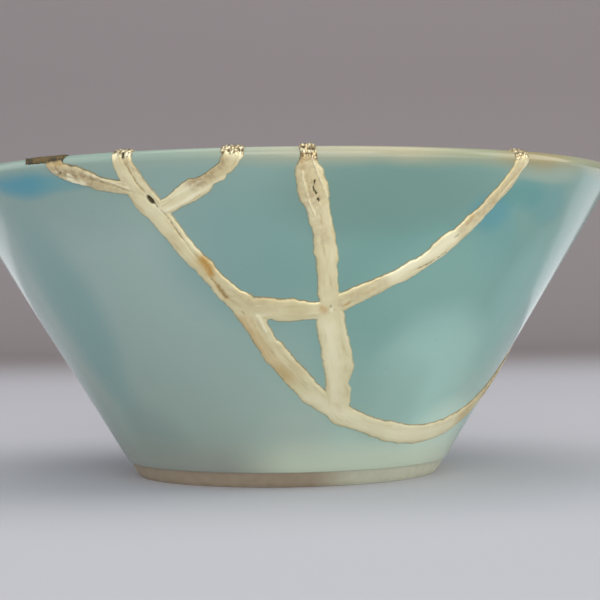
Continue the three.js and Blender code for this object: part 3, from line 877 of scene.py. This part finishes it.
class Wire:
    """A number or colour that changes over a surface. Arithmetic on it adds Math nodes."""

    def __init__(self, finish, socket):
        self.finish = finish
        self.socket = socket

    def maths(self, operation, *values):
        return self.finish.node("ShaderNodeMath", {"operation": operation}, dict(enumerate(values)))

    def __add__(self, other):
        return self.maths("ADD", self, other)

    def __radd__(self, other):
        return self.maths("ADD", other, self)

    def __sub__(self, other):
        return self.maths("SUBTRACT", self, other)

    def __rsub__(self, other):
        return self.maths("SUBTRACT", other, self)

    def __mul__(self, other):
        return self.maths("MULTIPLY", self, other)

    def __rmul__(self, other):
        return self.maths("MULTIPLY", other, self)

    def __truediv__(self, other):
        return self.maths("DIVIDE", self, other)

    def __pow__(self, other):
        return self.maths("POWER", self, other)

    def clamped(self):
        return self.maths("MINIMUM", self.maths("MAXIMUM", self, 0.0), 1.0)


class Finish:
    """A material, and the few kinds of node that it is laid out with."""

    def __init__(self, name):
        self.material = bpy.data.materials.new(name)
        self.material.use_nodes = True
        self.tree = self.material.node_tree
        self.tree.nodes.clear()

    def node(self, kind, settings=None, sockets=None, output=0):
        made = self.tree.nodes.new(kind)
        for name, value in (settings or {}).items():
            setattr(made, name, value)
        for name, value in (sockets or {}).items():
            if isinstance(value, Wire):
                self.tree.links.new(value.socket, made.inputs[name])
            else:
                made.inputs[name].default_value = value
        return Wire(self, made.outputs[output]) if made.outputs else None

    def attribute(self, name):
        return self.node("ShaderNodeAttribute", {"attribute_name": name}, output=2)

    def place(self):
        """Object coordinates, azimuth in degrees, height and radius in millimetres, and how far right.

        The last runs from -1 at the left through 0 at the front and back to 1 at the right."""
        spot = self.node("ShaderNodeTexCoord", output=3)
        x, y, z = (self.node("ShaderNodeSeparateXYZ", sockets={0: spot}, output=i) for i in range(3))
        azimuth = x.maths("ARCTAN2", x, 0 - y) * math.degrees(1)
        radius = (x * x + y * y) ** 0.5
        return spot, azimuth, z / MM, radius / MM, x / radius

    def ramp_up(self, value, low, high):
        """0 below low, 1 above high, and smooth between. With low above high it falls instead."""
        sockets = {"Value": value, "From Min": low, "From Max": high}
        if low > high:
            sockets = {"Value": value, "From Min": high, "From Max": low, "To Min": 1.0, "To Max": 0.0}
        return self.node("ShaderNodeMapRange", {"interpolation_type": "SMOOTHSTEP"}, sockets)

    def pool(self, azimuth, height, centre, size):
        """A soft round spot of 1 at a centre of azimuth and height, fading to 0 over a size."""
        across = (azimuth - centre[0]) / size[0]
        up = (height - centre[1]) / size[1]
        return self.ramp_up(across * across + up * up, 1.0, 0.0)

    def blend(self, share, first, second):
        sockets = {0: share, 6: first, 7: second}
        return self.node("ShaderNodeMix", {"data_type": "RGBA"}, sockets, output=2)

    def noise(self, spot, scale, detail=2.0):
        return self.node("ShaderNodeTexNoise", sockets={"Vector": spot, "Scale": scale, "Detail": detail})

    def finished(self, sockets, bump=None, strength=0.0, depth=0.0):
        """The material with its shader, and a bump over it where one is given."""
        if bump is not None:
            relief = {"Height": bump, "Strength": strength, "Distance": depth}
            sockets = {**sockets, "Normal": self.node("ShaderNodeBump", sockets=relief)}
        surface = self.node("ShaderNodeBsdfPrincipled", sockets=sockets)
        self.node("ShaderNodeOutputMaterial", sockets={"Surface": surface})
        return self.material


def colour(red, green, blue):
    """A colour as the eye sees it, from 0 to 255, as the shader's own values."""
    def linear(value):
        share = value / 255
        return share / 12.92 if share <= 0.04045 else ((share + 0.055) / 1.055) ** 2.4
    return (linear(red), linear(green), linear(blue), 1.0)


# Tints of the glaze, outside and then inside, and of the bare clay
GREY_GREEN = colour(153, 176, 169)
TEAL = colour(114, 157, 150)
LOW_GREY = colour(154, 172, 162)
LOW_PALE = colour(178, 206, 193)
UNDER_RIM = colour(124, 154, 145)
LIP_GREEN = colour(146, 168, 155)
LIP_CREAM = colour(174, 170, 140)
LIP_OLIVE = colour(154, 158, 130)
LIP_BROWN = colour(158, 142, 96)
THIN_GREY = colour(156, 160, 148)
THIN_PALE = colour(208, 218, 194)
WELL_SIDE = colour(136, 166, 160)
WELL_FLOOR = colour(104, 148, 148)
FRECKLE = colour(70, 88, 80)
CLAY_BROWN = (colour(150, 134, 112), colour(176, 160, 138))
CLAY_PALE = (colour(186, 188, 164), colour(212, 212, 190))

# Heights between which the glaze changes, in millimetres: paler downwards, partly thinner glaze and
# partly painted light from the table, darker under the rim, partly pooled glaze and partly painted shade,
# thinner towards the lip and the foot, with the fade of the lip's highlight painted in too, and inside
# deeper on the floor and thinner at the lip
PALER = (44, 6)
DARKER = (48, 62)
THIN_LIP = (62.6, 66.2)
THIN_FOOT = (13.0, 4.0)
DEEP_WELL = (40, 5)
WELL_LIP = (62, 66)

# Pools where the glaze is thick and blue, streaks that ran from them, places where it is thin, and
# patches of painted light low on the right and of painted shade low on the left: the centre of each as
# azimuth and height, how far it reaches both ways, its strength and its tint
POOLS = [
    ((-46.0, 63.2), (12.0, 3.8), 0.95, colour(80, 150, 166)),
    ((-36.0, 62.6), (7.0, 2.2), 0.5, colour(92, 156, 164)),
    ((18.0, 58.5), (25.0, 10.0), 0.5, colour(100, 134, 124)),
    ((35.5, 54.5), (6.0, 5.0), 0.75, colour(84, 146, 156)),
    ((42.0, 58.8), (8.0, 4.2), 0.6, colour(78, 144, 142)),
    ((51.0, 57.5), (9.0, 5.0), 0.5, colour(84, 146, 148)),
    ((47.0, 63.6), (12.0, 2.6), 0.6, colour(160, 172, 154)),
    ((40.0, 50.0), (6.0, 9.0), 0.3, colour(98, 156, 158)),
    ((-50.0, 37.0), (13.0, 27.0), 0.75, colour(122, 160, 158)),
    # Painted shade, darker low on the left
    ((-43.0, 9.0), (16.0, 12.0), 0.35, colour(124, 142, 138)),
    ((31.0, 41.0), (22.0, 11.0), 0.5, colour(136, 176, 167)),
    ((17.0, 26.0), (14.0, 15.0), 0.3, colour(112, 162, 154)),
    # Painted light, paler low on the right
    ((38.0, 23.0), (20.0, 18.0), 0.7, colour(164, 204, 194)),
    ((57.0, 38.0), (12.0, 18.0), 0.5, colour(140, 184, 178)),
    ((-8.0, 47.0), (17.0, 17.0), 0.45, colour(102, 150, 148)),
    ((28.0, 19.0), (14.0, 12.0), 0.4, colour(130, 162, 152)),
    ((4.0, 12.0), (14.0, 7.0), 0.35, colour(176, 186, 174)),
    # Painted light, palest low on the right
    ((55.0, 9.0), (20.0, 12.0), 0.6, colour(214, 240, 224)),
]


def celadon_glaze():
    """Blue-green glaze: pooled under the rim, paler low down, creamy over the lip, bare at the foot, with
    painted light low on the right and painted shade low on the left and under the rim.
    """
    finish = Finish("celadon_glaze")
    spot, azimuth, height, radius, side = finish.place()
    inside = finish.ramp_up(radius - (BASE_RADIUS - LIP_RADIUS + FLARE * height), -0.2, -0.4)
    drift = finish.noise(spot, 30.0, 3.0) - 0.5
    wander = height + 7.0 * drift

    # Greyer on the left and teal on the right, and paler down the wall, most of all to the right, where
    # that paleness is partly thinner glaze and partly painted light; then darker under the rim, partly
    # painted shade
    upper = finish.blend(finish.ramp_up(side, -0.42, 0.34), GREY_GREEN, TEAL)
    lower = finish.blend(finish.ramp_up(side, -0.5, 0.6), LOW_GREY, LOW_PALE)
    body = finish.blend(finish.ramp_up(wander, *PALER), upper, lower)
    body = finish.blend(finish.ramp_up(wander, *DARKER) * 0.5, body, UNDER_RIM)
    for centre, size, strength, tint in POOLS:
        pool = finish.pool(azimuth + 9.0 * drift, wander, centre, size)
        body = finish.blend(pool * strength, body, tint)

    # Thin glaze over the lip, warmer to the right, its pale band also painting the fade of the lip's
    # highlight, and thin again just above the foot, paler there to the right with painted light
    lip = finish.blend(finish.ramp_up(side, -0.45, 0.3), LIP_GREEN, LIP_CREAM)
    lip = finish.blend(finish.ramp_up(side, 0.3, 0.5), lip, LIP_OLIVE)
    lip = finish.blend(finish.pool(azimuth, height, (43.0, 66.0), (11.0, 4.0)) * 0.7, lip, LIP_BROWN)
    thinned = height + 1.6 * drift + 2.4 * (finish.noise(spot, 70.0) - 0.5)
    body = finish.blend(finish.ramp_up(thinned, *THIN_LIP), body, lip)
    # Paler to the right just above the foot: partly thin glaze and partly painted light
    thin = finish.blend(finish.ramp_up(side, -0.36, 0.06), THIN_GREY, THIN_PALE)
    body = finish.blend(finish.ramp_up(height, *THIN_FOOT) * 0.8, body, thin)

    # Inside, the glaze is plainer and pools on the floor
    well = finish.blend(finish.ramp_up(wander, *DEEP_WELL), WELL_SIDE, WELL_FLOOR)
    well = finish.blend(finish.ramp_up(height, *WELL_LIP), well, lip)
    body = finish.blend(inside, body, well)
    freckles = finish.ramp_up(finish.noise(spot, 900.0, 1.0), 0.72, 0.80)
    body = finish.blend(freckles * 0.08, body, FRECKLE)

    # The bare foot, of sandy clay that looks darker on the left
    bare = finish.ramp_up(height, FOOT_HEIGHT + 0.15, FOOT_HEIGHT - 0.15) * (1 - inside)
    sandy = finish.noise(spot, 500.0, 4.0)
    brown, pale = (finish.blend(sandy, *tints) for tints in (CLAY_BROWN, CLAY_PALE))
    body = finish.blend(bare, body, finish.blend(finish.ramp_up(side, 0.1, 0.45), brown, pale))

    ripple = finish.noise(spot, 160.0)
    grain = finish.noise(spot, 2600.0) * bare * 0.6
    sockets = {"Base Color": body, "Roughness": 0.16 + 0.5 * bare + 0.04 * drift, "IOR": 1.5}
    return finish.finished(sockets, ripple + grain, 0.12, 0.0004)


# Tints of the gold and of the filler in the chip
LEAF_DEEP = colour(232, 219, 172)
LEAF_PALE = colour(250, 241, 198)
STROKE_BROWN = colour(206, 184, 130)
STROKE_PALE = colour(255, 246, 212)
WORN = colour(184, 162, 122)
ROSY = colour(255, 226, 198)
STAIN = colour(206, 154, 62)
FOLD_BROWN = colour(132, 106, 58)
FOLD_PALE = colour(250, 236, 196)
FOLD_STAIN = colour(172, 138, 78)
BURNISHED = colour(255, 249, 214)
EDGE_BROWN = colour(122, 108, 78)
PIT_OLIVE = colour(60, 52, 20)
FILLER_DARK = colour(64, 56, 32)
FILLER_PALE = colour(106, 88, 48)


def gold_leaf():
    """Champagne gold on lacquer: satin, darker at its edges and creases, partly with painted shade, with
    painted highlights, and gathered at the lip into folds painted with glints and shade.
    """
    finish = Finish("gold_lacquer")
    spot = finish.node("ShaderNodeTexCoord", output=3)
    across, along, upper, crumpled, patch, *marks = (finish.attribute(name) for name in LOOKS)
    pit, stain, worn, bright, rosy = marks
    grain = finish.noise(spot, 2400.0, 3.0)
    flakes = finish.noise(spot, 2200.0)
    speckle = finish.noise(spot, 700.0, 3.0)
    cloud = finish.noise(spot, 130.0, 3.0)
    brushed = finish.node("ShaderNodeCombineXYZ", sockets={0: across * 3.0, 1: along * 0.16, 2: 0.0})
    strokes = finish.noise(brushed, 1.0, 4.0)

    # The leaf with its brush strokes, and where it is worn (at the left fork's top, painted shade), where
    # it has a rosy painted highlight, and where it is stained
    tone = finish.blend(finish.ramp_up(cloud, 0.3, 0.7), LEAF_DEEP, LEAF_PALE)
    tone = finish.blend(finish.ramp_up(strokes, 0.52, 0.74) * 0.55, tone, STROKE_BROWN)
    tone = finish.blend(finish.ramp_up(strokes, 0.46, 0.28) * 0.5, tone, STROKE_PALE)
    mottle = finish.ramp_up(finish.noise(spot, 950.0, 3.0) + 0.35 * (cloud - 0.5), 0.36, 0.64)
    tone = finish.blend(worn * (0.45 + 0.55 * mottle), tone, WORN)
    tone = finish.blend(rosy * 0.6, tone, ROSY)
    tone = finish.blend(stain * 0.9, tone, STAIN)

    # Leaf gathered at the lip, and painted highlights on ridges and specks and where the gold gets little
    # light
    leaf = crumpled.clamped()
    # Painted glints on the folds of the gathered leaf, and painted shade in the gaps between them
    folds = finish.blend(finish.ramp_up(flakes, 0.4, 0.58), FOLD_BROWN, FOLD_PALE)
    tone = finish.blend(leaf * 0.9, tone, folds)
    tone = finish.blend(leaf * stain * 0.6, tone, FOLD_STAIN)
    burnished = bright.clamped()
    tone = finish.blend(burnished * 0.8, tone, BURNISHED)

    # Darker edges, partly the lacquer's own edge and partly painted shade, most of all the upper ones,
    # where it damps the highlight from the light above; then pits and creases, with the painted shade of
    # the folds, and the filler of the chip
    rim = finish.ramp_up(across.maths("ABSOLUTE", across) + 0.14 * (speckle - 0.5), 0.86, 0.98)
    ledge = finish.ramp_up(upper, 0.0, 0.8)
    tone = finish.blend(rim * (0.4 + 0.4 * ledge), tone, EDGE_BROWN)
    dull = finish.ramp_up(pit, 0.1, 0.75)
    tone = finish.blend(dull, tone, PIT_OLIVE)
    filler = finish.blend(finish.ramp_up(speckle, 0.38, 0.62), FILLER_DARK, FILLER_PALE)
    tone = finish.blend(patch.clamped(), tone, filler)
    dull = (dull + patch).clamped()

    relief = speckle + cloud * 0.6 + grain * 0.35 * (worn + patch) + flakes * 1.2 * leaf
    return finish.finished({
        "Base Color": tone,
        "Metallic": (0.6 + 0.1 * leaf) * (1 - 0.85 * dull) * (1 - 0.4 * burnished),
        "Roughness": (0.42 - 0.14 * leaf + 0.1 * worn + 0.3 * patch + 0.25 * rim).clamped(),
    }, relief, 0.25, 0.00012)


# The table and the backdrop, one sheet that curves up behind the bowl, in metres
TABLE_BACK = 0.95
TABLE_FRONT = -1.6
TABLE_HALF_WIDTH = 2.2
BACKDROP_CURVE = 0.25
BACKDROP_STEPS = 24
BACKDROP_TOP = 1.8
TONE_CHANGE = (0.38, 0.85)  # the sheet turns from the table's tint to the backdrop's over this depth
TABLE_TINT = colour(188, 188, 194)
BACKDROP_TINT = colour(150, 142, 143)


def studio_sheet():
    """The pale table, curved up into a plain backdrop."""
    shape = bmesh.new()
    bend_centre = (TABLE_BACK, BACKDROP_CURVE)
    bend = arc(bend_centre, BACKDROP_CURVE, -math.pi / 2, 0, BACKDROP_STEPS)
    side = [(TABLE_FRONT, 0.0), *bend, (TABLE_BACK + BACKDROP_CURVE, BACKDROP_TOP)]
    line = [shape.verts.new((-TABLE_HALF_WIDTH, y, z)) for y, z in side]
    edges = [shape.edges.new(pair) for pair in zip(line, line[1:])]
    pulled = bmesh.ops.extrude_edge_only(shape, edges=edges)["geom"]
    moved = [part for part in pulled if isinstance(part, bmesh.types.BMVert)]
    bmesh.ops.translate(shape, verts=moved, vec=(2 * TABLE_HALF_WIDTH, 0, 0))
    bmesh.ops.recalc_face_normals(shape, faces=shape.faces)
    sheet = new_object("studio_sheet", shape)
    sheet.data.shade_smooth()
    sheet.data.materials.append(studio_paper())


def studio_paper():
    """Pale table that turns to a soft mauve grey behind."""
    finish = Finish("studio_paper")
    spot = finish.node("ShaderNodeTexCoord", output=3)
    depth = finish.node("ShaderNodeSeparateXYZ", sockets={0: spot}, output=1)
    tone = finish.blend(finish.ramp_up(depth, *TONE_CHANGE), TABLE_TINT, BACKDROP_TINT)
    return finish.finished({"Base Color": tone, "Roughness": 0.8})


# The camera, close in front of the bowl and a little above half its height
CAMERA_PLACE = (0.0, -0.375, 0.038)
CAMERA_YAW = 0.51
CAMERA_PITCH = 0.15
CAMERA_ROLL = -0.82
CAMERA_LENS = 98.6


def add_camera():
    yaw, pitch, roll = (math.radians(angle) for angle in (CAMERA_YAW, CAMERA_PITCH, CAMERA_ROLL))
    ahead = Vector((math.sin(yaw), math.cos(yaw), 0))
    forward = math.cos(pitch) * ahead + Vector((0, 0, math.sin(pitch)))
    level = Vector((math.cos(yaw), -math.sin(yaw), 0))
    upright = level.cross(forward)
    right = math.cos(roll) * level + math.sin(roll) * upright
    up = -math.sin(roll) * level + math.cos(roll) * upright
    facing = Matrix((right, up, -forward)).transposed().to_4x4()
    data = bpy.data.cameras.new("camera")
    data.lens = CAMERA_LENS
    data.clip_start = 0.01
    camera = bpy.data.objects.new("camera", data)
    camera.matrix_world = Matrix.Translation(CAMERA_PLACE) @ facing
    bpy.context.scene.collection.objects.link(camera)
    bpy.context.scene.camera = camera


# Soft windows that face the bowl from all sides, and pale cards that lie on the table and light it
# from below: the place of each, its size in metres, its watts and its tint
BOWL_MIDDLE = (0, 0, 0.04)
WINDOWS = [
    ("window_above", (0.1, -0.1, 1.2), (1.4, 1.4), 7.6, (1.0, 0.98, 0.95)),
    ("window_front", (0.15, -1.3, 0.45), (1.2, 0.9), 8.5, (1.0, 0.99, 0.97)),
    ("window_right", (1.2, 0.0, 0.5), (0.9, 0.9), 6, (1.0, 0.98, 0.94)),
    ("window_left", (-1.2, 0.0, 0.5), (1.6, 1.2), 6, (0.96, 0.98, 1.0)),
]
CARDS = [
    ("card_right", (0.31, 0.34), (0.36, 0.5), 0.34, (1.0, 1.0, 1.0)),
    ("card_left", (-0.39, 0.33), (0.44, 0.5), 0.4, (1.0, 1.0, 1.0)),
    ("card_front", (0.2, -0.28), (0.4, 0.3), 0.42, (1.0, 0.98, 0.93)),
]
CARD_HEIGHT = 0.002
AIR_TINT = (0.92, 0.95, 1.0, 1.0)
AIR_STRENGTH = 0.42


def soft_light(name, place, target, size, watts, tint):
    """A large soft light that faces a target."""
    data = bpy.data.lights.new(name, "AREA")
    data.shape = "RECTANGLE"
    data.size, data.size_y = size
    data.energy = watts
    data.color = tint
    light = bpy.data.objects.new(name, data)
    light.location = place
    light.visible_camera = False
    light.rotation_mode = "QUATERNION"
    light.rotation_quaternion = (Vector(target) - Vector(place)).to_track_quat("-Z", "Y")
    bpy.context.scene.collection.objects.link(light)


def light_studio():
    """Even light from all round, with the windows and the cards."""
    world = bpy.data.worlds.new("studio_air")
    world.use_nodes = True
    air = world.node_tree.nodes["Background"]
    air.inputs["Color"].default_value = AIR_TINT
    air.inputs["Strength"].default_value = AIR_STRENGTH
    bpy.context.scene.world = world
    bpy.context.scene.view_settings.view_transform = "Standard"
    for name, place, size, watts, tint in WINDOWS:
        soft_light(name, place, BOWL_MIDDLE, size, watts, tint)
    for name, (x, y), size, watts, tint in CARDS:
        soft_light(name, (x, y, CARD_HEIGHT), (x, y, 1), size, watts, tint)


add_camera()
light_studio()
studio_sheet()

glaze = celadon_glaze()
for sherd_name, sherd in broken_bowl().items():
    sherd.name = f"glazed_{sherd_name}"
    to_metres(sherd, SHERD_SHARP)
    dressed(sherd, sherd_name, glaze)

seams = gold_lacquer()
seams.name = "gold_lacquer_seams"
to_metres(seams, GOLD_SHARP)
dressed(seams, "gold_seams", gold_leaf())
